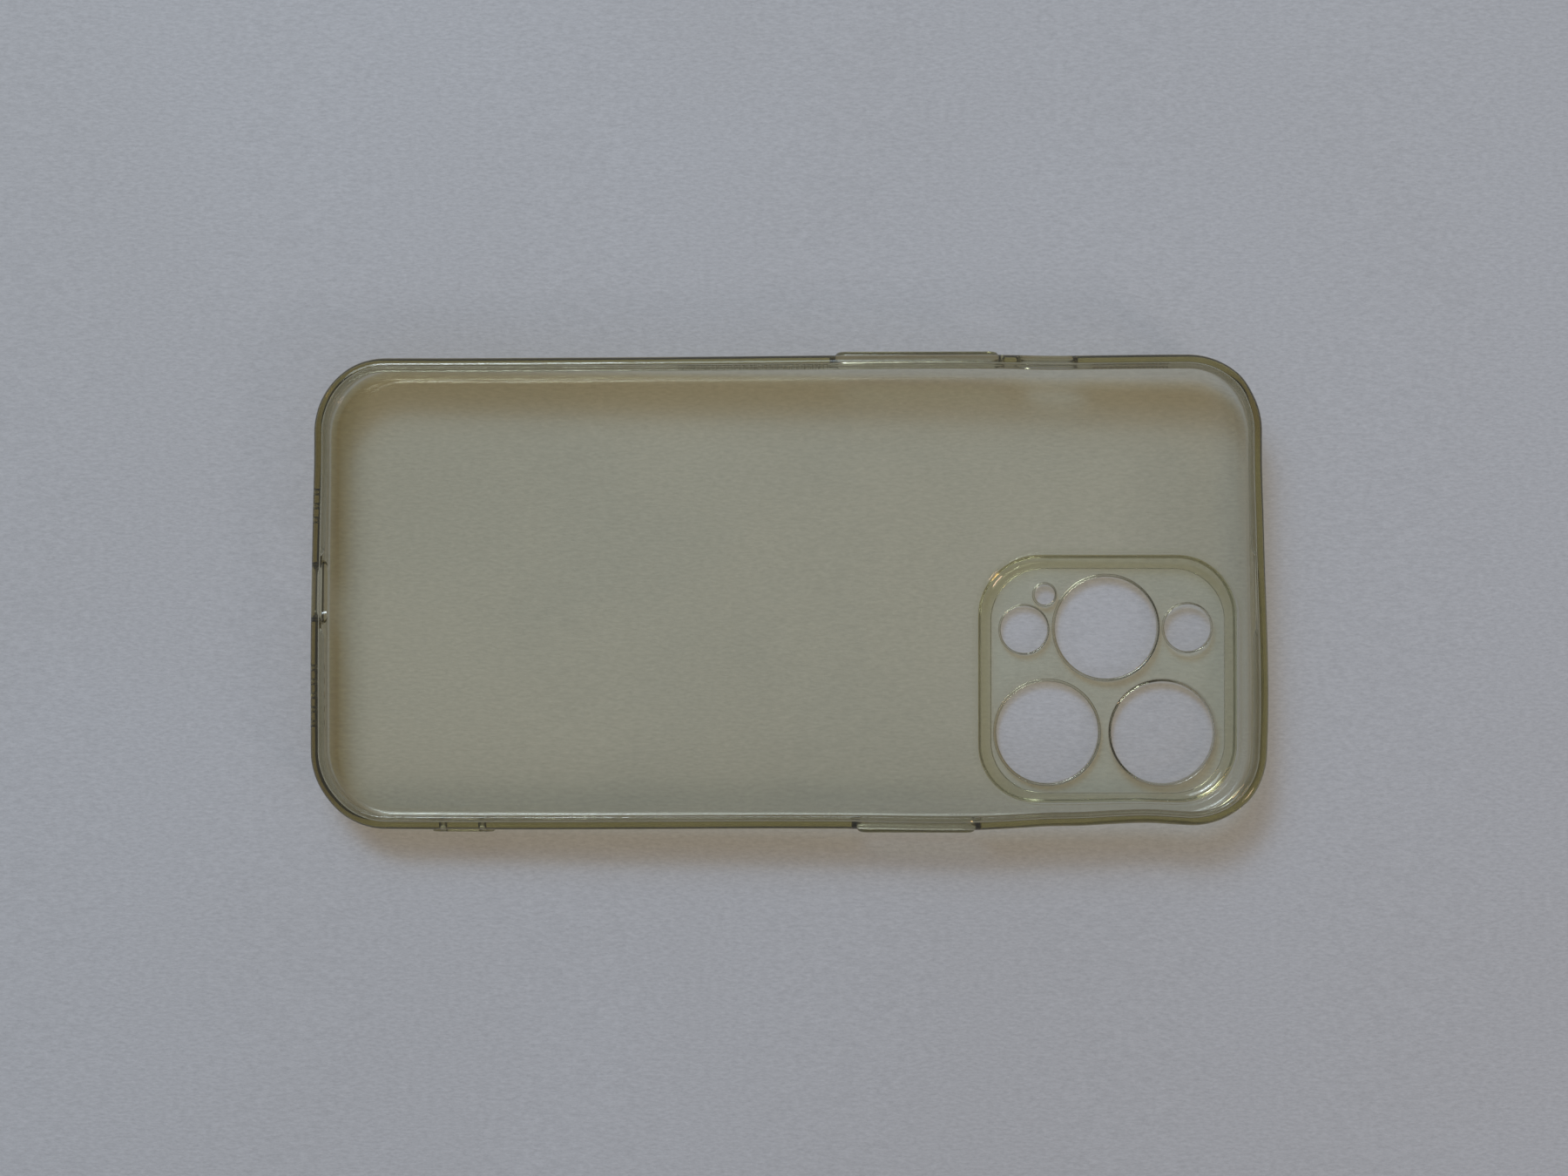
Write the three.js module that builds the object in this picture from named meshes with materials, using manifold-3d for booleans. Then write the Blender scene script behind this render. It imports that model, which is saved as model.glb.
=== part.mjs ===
// A clear, soft, slip-on case for a phone with three camera lenses, lying on its back with the
// open front up. Millimetres. +X runs towards the camera end, +Y towards the volume side and +Z
// out of the open front. The origin is on the resting plane, under the middle of the case.
import * as THREE from 'three';
import { mergeVertices } from 'three/addons/utils/BufferGeometryUtils.js';
import Module from 'manifold-3d';

const wasm = await Module();
wasm.setup();

// The phone that the case holds, and the moulding around it
const phoneLength = 146.7;
const phoneWidth = 71.5;
const phoneDepth = 7.65;
const wall = 1.2;
const cornerRadius = 12;
const backThickness = 1.0;
const guardDrop = 2.6; // the camera guard stands this far below the back
const lipThickness = 0.85;
const lipReach = 1.1; // the lip covers this much of the phone's front edge
const backEdge = 2.4; // rounding where the walls turn into the back
const frontEdge = 0.75; // rounding on top of the lip
const cavityEdge = 0.5;

// Heights, from the resting plane up
const backOuter = guardDrop;
const backInner = backOuter + backThickness;
const lipUnder = backInner + phoneDepth;
const frontTop = lipUnder + lipThickness;
const middleHeight = backInner + phoneDepth / 2; // buttons, port and sound holes lie here

// Half sizes of the outside and of the phone's room
const outerX = phoneLength / 2 + wall;
const outerY = phoneWidth / 2 + wall;
const innerX = phoneLength / 2;
const innerY = phoneWidth / 2;
const past = 5; // cutters run this far past what they cut

// Camera pocket: the flat deck that the lenses look through, and the wall around it
const deck = { left: 33.2, right: 69.9, low: -32, high: 3.4, radius: 8 };
const deckOuter = 0.8;
const deckInner = 1.6;
const pocketFlare = 2.2; // the pocket's wall leans out this far on its way up to the back
const deckSeat = 0.3; // the deck's edge reaches this far under the pocket's wall
const guard = { left: 30.3, right: 72.1, low: -34.2, high: 6.3, radius: 9.5 };
const guardRounding = 1.3;

// Round holes in the deck: [node name, x, y, hole radius, collar width, collar height]
const deckHoles = [
  ['lens_collar_inner', 51.2, -5.7, 8.15, 0.55, 0.6],
  ['lens_collar_port_side', 41.8, -22.5, 8.15, 0.55, 0.6],
  ['lens_collar_top_side', 60.2, -22.5, 8.15, 0.55, 0.6],
  ['flash_hole_collar', 38.1, -6.0, 3.75, 0.35, 0.4],
  ['sensor_hole_collar', 64.2, -5.7, 3.75, 0.35, 0.4],
  ['microphone_hole_collar', 41.4, -0.4, 1.6, 0.45, 0.3],
];

// Soft covers over the phone's buttons, in the side walls. side is +1 on the volume side
const coverHeight = 4.4;
const coverProud = 0.8; // how far a cover stands out of its wall
const coverRecess = 0.6; // room between a cover's back and the phone
const coverEdge = 0.35;
const webWidth = 0.9; // thin flexing strip that joins a cover to its wall
const webThickness = 0.45;
const buttons = [
  { cover: 'volume_button_cover', web: 'volume_button_web', left: 7.8, right: 33.5, side: 1 },
  { cover: 'lock_button_cover', web: 'lock_button_web', left: 11.2, right: 29.9, side: -1 },
];

// Openings in the walls
const muteWindow = { left: 36.2, right: 45.8, height: 4.8 };
const portWindow = { halfWidth: 4.8, height: 4.8, radius: 1.8 };
const soundHole = { radius: 0.55, pitch: 2.2 };
const microphoneHoles = { middle: 13.6, count: 3 };
const speakerHoles = { middle: -16.35, count: 5 };
const lipNotchDepth = 0.5;
const portNotchHalf = 6.0;
const earpieceNotchHalf = 6.9;

// Lanyard loop: a low boss in the lock-button wall with two cord holes and a bar between them
const lanyard = { left: -55.8, right: -45.9, height: 3.4, proud: 0.6, holeInset: 1.85 };
const cordHole = { width: 1.3, height: 2.2 };

// How finely the curves are cut into flats
const cornerSteps = 4;
const holeSteps = 14;
const smallHoleSteps = 7;
const edgeSteps = 3;
const speckVolume = 0.001; // cubic millimetres

// ---- Outlines ----

function roundedBox(left, right, low, high, radius) {
  const outline = new THREE.Shape();
  outline.moveTo(left + radius, low);
  outline.lineTo(right - radius, low);
  outline.absarc(right - radius, low + radius, radius, -Math.PI / 2, 0);
  outline.lineTo(right, high - radius);
  outline.absarc(right - radius, high - radius, radius, 0, Math.PI / 2);
  outline.lineTo(left + radius, high);
  outline.absarc(left + radius, high - radius, radius, Math.PI / 2, Math.PI);
  outline.lineTo(left, low + radius);
  outline.absarc(left + radius, low + radius, radius, Math.PI, 1.5 * Math.PI);
  return outline;
}

function grownBox(box, grow) {
  return roundedBox(
    box.left - grow, box.right + grow, box.low - grow, box.high + grow, box.radius + grow,
  );
}

// The case's own outline, drawn in by an inset
function caseOutline(inset) {
  const x = outerX - inset;
  const y = outerY - inset;
  return roundedBox(-x, x, -y, y, cornerRadius - inset);
}

// A window's outline in a wall: straight along its length with rounded ends, at button height
function windowOutline(left, right, height, radius = 0.45 * height) {
  return roundedBox(left, right, middleHeight - height / 2, middleHeight + height / 2, radius);
}

function circle(x, y, radius) {
  const outline = new THREE.Shape();
  outline.absarc(x, y, radius, 0, 2 * Math.PI);
  return outline;
}

// ---- Solids ----

function solidOf(geometry) {
  geometry.deleteAttribute('normal');
  geometry.deleteAttribute('uv');
  const merged = mergeVertices(geometry);
  const vertProperties = merged.attributes.position.array;
  const triVerts = new Uint32Array(merged.index.array);
  return new wasm.Manifold(new wasm.Mesh({ numProp: 3, vertProperties, triVerts }));
}

// Turns an extrusion so that its depth runs along x, y or z. The outline's own axes become
// y and z for x, x and z for y, and x and y for z.
const turns = {
  x: [[0, 1, 0], [0, 0, 1], [1, 0, 0]],
  y: [[1, 0, 0], [0, 0, 1], [0, -1, 0]],
  z: [[1, 0, 0], [0, 1, 0], [0, 0, 1]],
};

function extrusion(outline, axis, low, high, steps, edge = 0) {
  const geometry = new THREE.ExtrudeGeometry(outline, {
    depth: high - low - 2 * edge,
    curveSegments: steps,
    bevelEnabled: edge > 0,
    bevelThickness: edge,
    bevelSize: edge,
    bevelOffset: -edge,
    bevelSegments: edgeSteps,
  });
  const start = axis === 'y' ? -high : low;
  geometry.translate(0, 0, start + edge);
  const [across, up, along] = turns[axis].map((v) => new THREE.Vector3(...v));
  geometry.applyMatrix4(new THREE.Matrix4().makeBasis(across, up, along));
  return solidOf(geometry);
}

// An extrusion whose two rims are rounded off by different amounts
function slab(outline, axis, low, high, lowEdge, highEdge, steps = cornerSteps) {
  const lower = extrusion(outline, axis, low, high + lowEdge + past, steps, lowEdge);
  const upper = extrusion(outline, axis, low - highEdge - past, high, steps, highEdge);
  return lower.intersect(upper);
}

function block(x0, x1, y0, y1, z0, z1) {
  const geometry = new THREE.BoxGeometry(x1 - x0, y1 - y0, z1 - z0);
  geometry.translate((x0 + x1) / 2, (y0 + y1) / 2, (z0 + z1) / 2);
  return solidOf(geometry);
}

function joined(solids) {
  return solids.reduce((sum, solid) => sum.add(solid));
}

// A cut along a face can leave a speck without volume beside the real body
function withoutSpecks(solid) {
  return joined(solid.decompose().filter((body) => body.volume() > speckVolume));
}

function meshOf(name, solid, material) {
  const { vertProperties, triVerts } = withoutSpecks(solid).getMesh();
  const geometry = new THREE.BufferGeometry();
  geometry.setAttribute('position', new THREE.BufferAttribute(vertProperties, 3));
  geometry.setIndex(new THREE.BufferAttribute(triVerts, 1));
  geometry.computeVertexNormals();
  const mesh = new THREE.Mesh(geometry, material);
  mesh.name = name;
  return mesh;
}

// ---- Materials ----

function clearPlastic(color, opacity, roughness) {
  return new THREE.MeshStandardMaterial({
    color, opacity, roughness, metalness: 0, transparent: true,
  });
}

function hazyBack() {
  return clearPlastic(0xb3aa8b, 0.55, 0.35);
}

function clearDeck() {
  return clearPlastic(0xbcbea6, 0.4, 0.15);
}

function yellowedEdge() {
  return clearPlastic(0x6f6740, 0.7, 0.15);
}

function clearCover() {
  return clearPlastic(0xa9a786, 0.5, 0.15);
}

// ---- The moulding, whole, before it is divided along its working parts ----

function outside() {
  const casing = slab(caseOutline(0), 'z', backOuter, frontTop, backEdge, frontEdge);
  const guardTop = backInner;
  const guardOutline = roundedBox(guard.left, guard.right, guard.low, guard.high, guard.radius);
  const guardBlock = slab(guardOutline, 'z', 0, guardTop, guardRounding, 0);
  return casing.add(guardBlock);
}

function phoneRoom() {
  const pocket = slab(
    grownBox(deck, pocketFlare), 'z', deckInner, backInner + past, pocketFlare, 0,
  );
  return slab(caseOutline(wall), 'z', backInner, lipUnder, cavityEdge, cavityEdge).add(pocket);
}

function frontOpening() {
  const low = lipUnder - past / 2;
  const high = frontTop + past;
  const opening = extrusion(caseOutline(wall + lipReach), 'z', low, high, cornerSteps);
  const edgeX = innerX - lipReach;
  const notch = edgeX + lipNotchDepth;
  const portNotch = block(-notch, 0, -portNotchHalf, portNotchHalf, low, high);
  const earpieceNotch = block(0, notch, -earpieceNotchHalf, earpieceNotchHalf, low, high);
  return joined([opening, portNotch, earpieceNotch]);
}

// The recess under the deck, inside the guard's rim
function deckRecess() {
  return extrusion(grownBox(deck, deckSeat), 'z', -past, deckOuter, cornerSteps);
}

function deckHoleCutters() {
  return joined(deckHoles.map(([, x, y, radius]) => {
    const steps = radius > 2 ? holeSteps : smallHoleSteps;
    return extrusion(circle(x, y, radius), 'z', -past, backInner, steps);
  }));
}

// Cuts through one wall, from inside the phone's room to past the outside
function wallCutter(outline, axis, side, steps = cornerSteps) {
  const inner = (axis === 'x' ? innerX : innerY) - cavityEdge;
  const outer = (axis === 'x' ? outerX : outerY) + past;
  const [low, high] = side > 0 ? [inner, outer] : [-outer, -inner];
  return extrusion(outline, axis, low, high, steps);
}

function buttonOutline(button, grow) {
  const left = button.left - grow;
  const right = button.right + grow;
  return windowOutline(left, right, coverHeight + 2 * grow, 0.4 * coverHeight + grow);
}

function lanyardOutline() {
  return windowOutline(lanyard.left, lanyard.right, lanyard.height, 0.3 * lanyard.height);
}

function soundHoleCutters({ middle, count }) {
  const first = middle - (soundHole.pitch * (count - 1)) / 2;
  return joined(Array.from({ length: count }, (_, i) => {
    const y = first + i * soundHole.pitch;
    return wallCutter(circle(y, middleHeight, soundHole.radius), 'x', -1, smallHoleSteps);
  }));
}

function portCutter() {
  const { halfWidth, height, radius } = portWindow;
  return wallCutter(windowOutline(-halfWidth, halfWidth, height, radius), 'x', -1);
}

function muteCutter() {
  const { left, right, height } = muteWindow;
  return wallCutter(windowOutline(left, right, height), 'y', 1);
}

function wallOpenings() {
  const buttonWindows = buttons.map((b) => wallCutter(buttonOutline(b, webWidth), 'y', b.side));
  return joined([
    ...buttonWindows,
    muteCutter(),
    portCutter(),
    soundHoleCutters(microphoneHoles),
    soundHoleCutters(speakerHoles),
    wallCutter(lanyardOutline(), 'y', -1),
  ]);
}

function wholeMoulding() {
  return outside()
    .subtract(phoneRoom())
    .subtract(frontOpening())
    .subtract(deckRecess())
    .subtract(deckHoleCutters())
    .subtract(wallOpenings());
}

// ---- Dividing the moulding ----

// The room that the flat back takes up: everything inside the walls, up to the phone
function backRegion() {
  const inset = wall + cavityEdge + 0.1;
  return extrusion(caseOutline(inset), 'z', -past, backInner, cornerSteps);
}

function guardRegion() {
  const outline = roundedBox(guard.left, guard.right, guard.low, guard.high, guard.radius);
  return extrusion(outline, 'z', -past, backInner, cornerSteps);
}

function deckRegion() {
  return extrusion(grownBox(deck, deckSeat), 'z', deckOuter, deckInner, cornerSteps);
}

// Splits the wall ring at the ends of its corner arcs
const arcStartX = outerX - cornerRadius;
const arcStartY = outerY - cornerRadius;
const farX = outerX + past;
const farY = outerY + past;
const farZ = frontTop + past;

function sideRegion(side, low, high) {
  const [y0, y1] = side > 0 ? [0, farY] : [-farY, 0];
  return block(-arcStartX, arcStartX, y0, y1, low, high);
}

function endRegion(end, low, high) {
  const [x0, x1] = end > 0 ? [arcStartX, farX] : [-farX, -arcStartX];
  return block(x0, x1, -arcStartY, arcStartY, low, high);
}

function cornerRegion(end, side) {
  const [x0, x1] = end > 0 ? [arcStartX, farX] : [-farX, -arcStartX];
  const [y0, y1] = side > 0 ? [arcStartY, farY] : [-farY, -arcStartY];
  return block(x0, x1, y0, y1, 0, farZ);
}

function backAndCamera(moulding) {
  const back = moulding.intersect(backRegion());
  const pocket = back.intersect(guardRegion()).subtract(deckRegion());
  return [
    meshOf('back_panel', back.subtract(guardRegion()), hazyBack()),
    meshOf('camera_deck', back.intersect(deckRegion()), clearDeck()),
    meshOf(
      'camera_pocket_wall',
      pocket.intersect(block(0, farX, -farY, farY, deckOuter, backInner)),
      clearDeck(),
    ),
    meshOf(
      'camera_guard_rim',
      pocket.intersect(block(0, farX, -farY, farY, -past, deckOuter)),
      yellowedEdge(),
    ),
  ];
}

function walls(ring) {
  const cut = (name, region) => meshOf(name, ring.intersect(region), yellowedEdge());
  return [
    cut('volume_side_wall', sideRegion(1, 0, lipUnder)),
    cut('lock_side_wall', sideRegion(-1, 0, lipUnder)),
    cut('top_end_wall', endRegion(1, 0, lipUnder)),
    cut('port_end_wall', endRegion(-1, 0, lipUnder)),
    cut('volume_side_lip', sideRegion(1, lipUnder, farZ)),
    cut('lock_side_lip', sideRegion(-1, lipUnder, farZ)),
    cut('top_end_lip', endRegion(1, lipUnder, farZ)),
    cut('port_end_lip', endRegion(-1, lipUnder, farZ)),
    cut('corner_bumper_top_volume', cornerRegion(1, 1)),
    cut('corner_bumper_top_lock', cornerRegion(1, -1)),
    cut('corner_bumper_port_volume', cornerRegion(-1, 1)),
    cut('corner_bumper_port_lock', cornerRegion(-1, -1)),
  ];
}

// ---- Pieces with a shape of their own ----

// A low ring around a hole, hanging from the deck's outer face. Built on its own centre.
function collar([name, x, y, radius, width, height]) {
  const steps = radius > 2 ? holeSteps : smallHoleSteps;
  const outline = circle(0, 0, radius + width);
  outline.holes.push(circle(0, 0, radius));
  const mesh = meshOf(name, extrusion(outline, 'z', -height, 0, steps), clearDeck());
  mesh.position.set(x, y, deckOuter);
  return mesh;
}

function collars() {
  const group = new THREE.Group();
  group.add(...deckHoles.map(collar));
  return group;
}

function buttonCover(button) {
  const backFace = innerY + coverRecess;
  const face = outerY + coverProud;
  const outline = buttonOutline(button, 0);
  const solid = button.side > 0
    ? slab(outline, 'y', backFace, face, 0, coverEdge)
    : slab(outline, 'y', -face, -backFace, coverEdge, 0);
  return meshOf(button.cover, solid, clearCover());
}

function buttonWeb(button) {
  const inner = innerY + coverRecess;
  const outer = inner + webThickness;
  const [low, high] = button.side > 0 ? [inner, outer] : [-outer, -inner];
  const strip = extrusion(buttonOutline(button, webWidth), 'y', low, high, cornerSteps)
    .subtract(extrusion(buttonOutline(button, 0), 'y', low - past, high + past, cornerSteps));
  return meshOf(button.web, strip, clearCover());
}

function lanyardLoop() {
  const { left, right, proud, holeInset } = lanyard;
  const holeAt = (x) => {
    const half = cordHole.width / 2;
    return windowOutline(x - half, x + half, cordHole.height, half * 0.95);
  };
  const cordHoles = joined([
    wallCutter(holeAt(left + holeInset), 'y', -1),
    wallCutter(holeAt(right - holeInset), 'y', -1),
  ]);
  const boss = slab(lanyardOutline(), 'y', -outerY - proud, -innerY, proud * 0.8, 0);
  return meshOf('lanyard_loop', boss.subtract(cordHoles), yellowedEdge());
}

function phoneCase() {
  const group = new THREE.Group();
  const moulding = wholeMoulding();
  group.add(...backAndCamera(moulding));
  group.add(...walls(moulding.subtract(backRegion())));
  group.add(collars());
  for (const button of buttons) {
    group.add(buttonCover(button), buttonWeb(button));
  }
  group.add(lanyardLoop());
  return group;
}

export default phoneCase();
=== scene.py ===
import math

import bmesh
import bpy
import numpy as np
from mathutils import Matrix, Vector
from mathutils.geometry import delaunay_2d_cdt


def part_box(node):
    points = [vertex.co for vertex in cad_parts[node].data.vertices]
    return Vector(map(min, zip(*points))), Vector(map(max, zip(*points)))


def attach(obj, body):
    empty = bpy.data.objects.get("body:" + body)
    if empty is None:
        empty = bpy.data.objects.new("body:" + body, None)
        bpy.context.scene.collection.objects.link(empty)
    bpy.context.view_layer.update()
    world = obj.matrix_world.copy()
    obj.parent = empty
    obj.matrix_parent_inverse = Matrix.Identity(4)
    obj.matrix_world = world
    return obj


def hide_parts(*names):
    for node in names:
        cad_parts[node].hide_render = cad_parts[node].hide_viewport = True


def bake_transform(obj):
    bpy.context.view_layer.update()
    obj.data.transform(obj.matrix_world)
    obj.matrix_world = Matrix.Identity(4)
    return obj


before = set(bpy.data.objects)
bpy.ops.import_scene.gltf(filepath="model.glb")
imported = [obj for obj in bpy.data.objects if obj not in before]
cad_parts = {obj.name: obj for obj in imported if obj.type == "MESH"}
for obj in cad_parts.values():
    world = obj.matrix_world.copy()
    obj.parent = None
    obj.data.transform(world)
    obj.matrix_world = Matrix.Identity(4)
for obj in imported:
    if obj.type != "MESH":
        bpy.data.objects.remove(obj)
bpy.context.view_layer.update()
scene = bpy.context.scene
mm = 0.001    # sizes are in millimetres, and in metres in materials, lamps and meshes


def nodeBox(name):
    # lowest and highest corner of a CAD node, in millimetres
    low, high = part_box(name)
    return np.array(low) / mm, np.array(high) / mm


# places and main sizes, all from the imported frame
backLow, backHigh = nodeBox("back_panel")
lipLow, lipHigh = nodeBox("volume_side_lip")
bumperLow, bumperHigh = nodeBox("corner_bumper_top_volume")
deckLow, deckHigh = nodeBox("camera_deck")
guardLow, guardHigh = nodeBox("camera_pocket_wall")
lanyardLow, lanyardHigh = nodeBox("lanyard_loop")

outerX, outerY = bumperHigh[0], bumperHigh[1]
backOuter, backInner = backLow[2], backHigh[2]
lipUnder, frontTop = lipLow[2], lipHigh[2]
lipInset = outerY - lipLow[1]
cornerRadius = outerX - bumperLow[0]
deckOuter, deckInner = deckLow[2], deckHigh[2]


shot = {
    "distance": 330.0,      # from the paper to the lens
    "fieldWidth": 252.6,    # what the picture spans on the paper
    "overX": -0.43,         # the point of the case's frame that the lens looks at
    "overY": 0.65,
    "sensor": 36.0,
    "nearest": 10.0,        # nothing closer than this is drawn
}
rest = {
    "guardEdge": 31.6,      # the case lies on its camera guard's near edge
    "portEdge": -72.2,      # and on the back edge of its port end
}


def restingAngle():
    # the case leans by the guard's height over the distance between its two lines of contact
    return math.atan(backOuter / (rest["guardEdge"] - rest["portEdge"]))


def floorAxes():
    # along the floor towards the camera end, across it, and up out of it
    lean = restingAngle()
    along = Vector((math.cos(lean), 0, -math.sin(lean)))
    up = Vector((math.sin(lean), 0, math.cos(lean)))
    return along, Vector((0, 1, 0)), up


def floorPoint(x, y):
    # a point of the floor, the given distances from where the guard touches it
    along, across, _ = floorAxes()
    start = Vector((rest["guardEdge"], 0, 0))
    return (start + along * (x - rest["guardEdge"]) + across * y) * mm


def makeCamera():
    # looks straight down at the paper, with the case's length across the picture
    data = bpy.data.cameras.new("shotCamera")
    data.sensor_width = shot["sensor"]
    data.lens = shot["sensor"] * shot["distance"] / shot["fieldWidth"]
    data.clip_start = shot["nearest"] * mm
    camera = bpy.data.objects.new("shotCamera", data)
    along, across, up = floorAxes()
    place = floorPoint(shot["overX"], shot["overY"]) + up * shot["distance"] * mm
    turn = Matrix((along, across, up)).transposed().to_4x4()
    camera.matrix_world = Matrix.Translation(place) @ turn
    scene.collection.objects.link(camera)
    scene.camera = camera


makeCamera()
print("camera placed")


def boxOutline(left, right, low, high, radius, step=1.6, arcSteps=20):
    # a rounded box, counter-clockwise: quarter circles joined by straight runs cut into
    # equal steps. Returns the points, their outward directions, and each side's indices
    centres = [(right - radius, low + radius), (right - radius, high - radius),
               (left + radius, high - radius), (left + radius, low + radius)]
    points, outward, sides = [], [], []
    for k, centre in enumerate(centres):
        angle = math.pi / 2 * (k - 1 + np.linspace(0, 1, arcSteps + 1))
        ray = np.column_stack([np.cos(angle), np.sin(angle)])
        arc = np.array(centre) + radius * ray
        following = np.array(centres[(k + 1) % 4]) + radius * ray[-1]
        count = max(1, int(round(np.linalg.norm(following - arc[-1]) / step)))
        share = np.linspace(0, 1, count + 1)[1:-1, None]
        start = sum(len(p) for p in points) + arcSteps
        sides.append(start + np.arange(count + 1))
        points += [arc, arc[-1] + share * (following - arc[-1])]
        outward += [ray, np.repeat(ray[-1:], count - 1, 0)]
    points, outward = np.vstack(points), np.vstack(outward)
    return points, outward, [side % len(points) for side in sides]


def circleOutline(x, y, radius, count):
    # points at equal angles round a centre
    angle = np.linspace(0, 2 * math.pi, count, endpoint=False)
    ray = np.column_stack([np.cos(angle), np.sin(angle)])
    return np.array([x, y]) + radius * ray, ray


def filletedPath(corners, steps=6):
    # a path through (growth, height) corners, each rounded by its own radius: the arc starts
    # and ends where it touches the two straight runs
    path = [np.array(corners[0][:2], float)]
    for before, (g, h, radius), after in zip(corners, corners[1:], corners[2:]):
        corner = np.array([g, h], float)
        a = np.array(before[:2]) - corner
        b = np.array(after[:2]) - corner
        a, b = a / np.linalg.norm(a), b / np.linalg.norm(b)
        half = math.acos(np.clip(a @ b, -1, 1)) / 2
        if radius == 0:
            path.append(corner)
            continue
        centre = corner + (a + b) / np.linalg.norm(a + b) * radius / math.sin(half)
        first = corner + a * radius / math.tan(half) - centre
        last = corner + b * radius / math.tan(half) - centre
        sweep = math.pi - 2 * half
        t = np.linspace(0, 1, steps + 1)[:, None]
        arc = (np.sin((1 - t) * sweep) * first + np.sin(t * sweep) * last) / math.sin(sweep)
        path += list(centre + arc)
    path.append(np.array(corners[-1][:2], float))
    return np.array(path)


# a patch is an array of points and a list of faces; a mesh is put together from patches
order = {"z": [0, 1, 2], "y": [0, 2, 1], "x": [2, 0, 1]}  # where (a, b, depth) go in x, y, z


def toSpace(flat, depth, axis):
    # flat points (a, b) and their depth become x, y, z, with the depth along the named axis
    spread = np.concatenate([flat, np.broadcast_to(depth, flat.shape[:-1])[..., None]], -1)
    return spread[..., order[axis]]


def band(outline, profile, axis="z", part=None, closedProfile=False):
    # a profile of (growth, depth) carried along an outline: point = outline + growth * outward.
    # part keeps only a run of the outline's points. A profile may differ at each of them
    points, outward = outline[0], outline[1]
    if part is not None:
        points, outward = points[part], outward[part]
    profile = np.asarray(profile, float)
    if profile.ndim == 2:
        profile = np.repeat(profile[:, None], len(points), 1)
    grid = toSpace(points[None] + profile[..., :1] * outward[None], profile[..., 1], axis)
    rows, count = grid.shape[:2]
    i = np.arange(rows if closedProfile else rows - 1)[:, None]
    j = np.arange(count if part is None else count - 1)[None]
    nextRow, nextPoint = (i + 1) % rows, (j + 1) % count
    corners = [i * count + j, i * count + nextPoint,
               nextRow * count + nextPoint, nextRow * count + j]
    faces = np.stack([c.ravel() for c in np.broadcast_arrays(*corners)], -1)
    return grid.reshape(-1, 3), [tuple(f) for f in faces.tolist()]


def inside(points, loop):
    # whether each point lies in a loop: an odd number of the loop's edges cross the ray
    # that runs from the point towards +a
    x, y = points[:, :1], points[:, 1:]
    ax, ay = loop[:, 0], loop[:, 1]
    bx, by = np.roll(ax, -1), np.roll(ay, -1)
    crosses = (ay > y) != (by > y)
    reach = ax + (y - ay) * (bx - ax) / np.where(by == ay, 1, by - ay)
    return (crosses & (x < reach)).sum(1) % 2 == 1


def sheet(loops, depth, axis="z", extra=None):
    # a flat sheet: triangles between its outer loop, which comes first, and its holes, kept
    # where their middle lies inside the one and outside the others
    flat = np.vstack(loops + ([extra] if extra is not None and len(extra) else []))
    edges, start = [], 0
    for loop in loops:
        n = len(loop)
        edges += [(start + k, start + (k + 1) % n) for k in range(n)]
        start += n
    made = delaunay_2d_cdt([Vector(p) for p in flat], edges, [], 1, 1e-6)
    source = [ids[0] for ids in made[3]]
    faces = np.array([[source[v] for v in face] for face in made[2]])
    middle = flat[faces].mean(1)
    keep = inside(middle, loops[0])
    for hole in loops[1:]:
        keep &= ~inside(middle, hole)
    return toSpace(flat, depth, axis), [tuple(f) for f in faces[keep].tolist()]


def grown(outline, growth):
    # the outline's points moved outwards
    return outline[0] + np.reshape(growth, (-1, 1)) * outline[1]


def eased(value, start, end):
    # 0 before start and 1 past end, with 3t^2 - 2t^3 between
    t = np.clip((value - start) / (end - start), 0, 1)
    return t * t * (3 - 2 * t)


def curveThrough(keys, at):
    # a smooth curve through (place, value) pairs: cubic pieces whose slope at each pair is that
    # of the line between its neighbours
    place, value = np.array(keys, float).T
    slope = np.gradient(value, place)
    at = np.clip(at, place[0], place[-1])
    k = np.clip(np.searchsorted(place, at) - 1, 0, len(place) - 2)
    span = place[k + 1] - place[k]
    t = (at - place[k]) / span
    return (value[k] * (1 + 2 * t) * (1 - t) ** 2 + value[k + 1] * t * t * (3 - 2 * t)
            + span * (slope[k] * t * (1 - t) ** 2 - slope[k + 1] * t * t * (1 - t)))


def cornerNormals(mesh):
    # a point's direction: the sum of its faces' normals times their areas. Flat sheets, whose
    # faces are triangles, outweigh the quads of a rounding, so that they shade dead flat
    flatWeight = 1e3
    mesh.calc_loop_triangles()
    count = len(mesh.loop_triangles)
    corners, owner = np.empty(count * 3, np.int32), np.empty(count, np.int32)
    mesh.loop_triangles.foreach_get("vertices", corners)
    mesh.loop_triangles.foreach_get("polygon_index", owner)
    sides = np.empty(len(mesh.polygons), np.int32)
    mesh.polygons.foreach_get("loop_total", sides)
    co = np.empty(len(mesh.vertices) * 3)
    mesh.vertices.foreach_get("co", co)
    corners, co = corners.reshape(-1, 3), co.reshape(-1, 3)
    a, b, c = co[corners[:, 0]], co[corners[:, 1]], co[corners[:, 2]]
    face = np.cross(b - a, c - a) * np.where(sides[owner] == 3, flatWeight, 1.0)[:, None]
    total = np.zeros_like(co)
    for k in range(3):
        np.add.at(total, corners[:, k], face)
    return total / np.maximum(np.linalg.norm(total, axis=1, keepdims=True), 1e-30)


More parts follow.
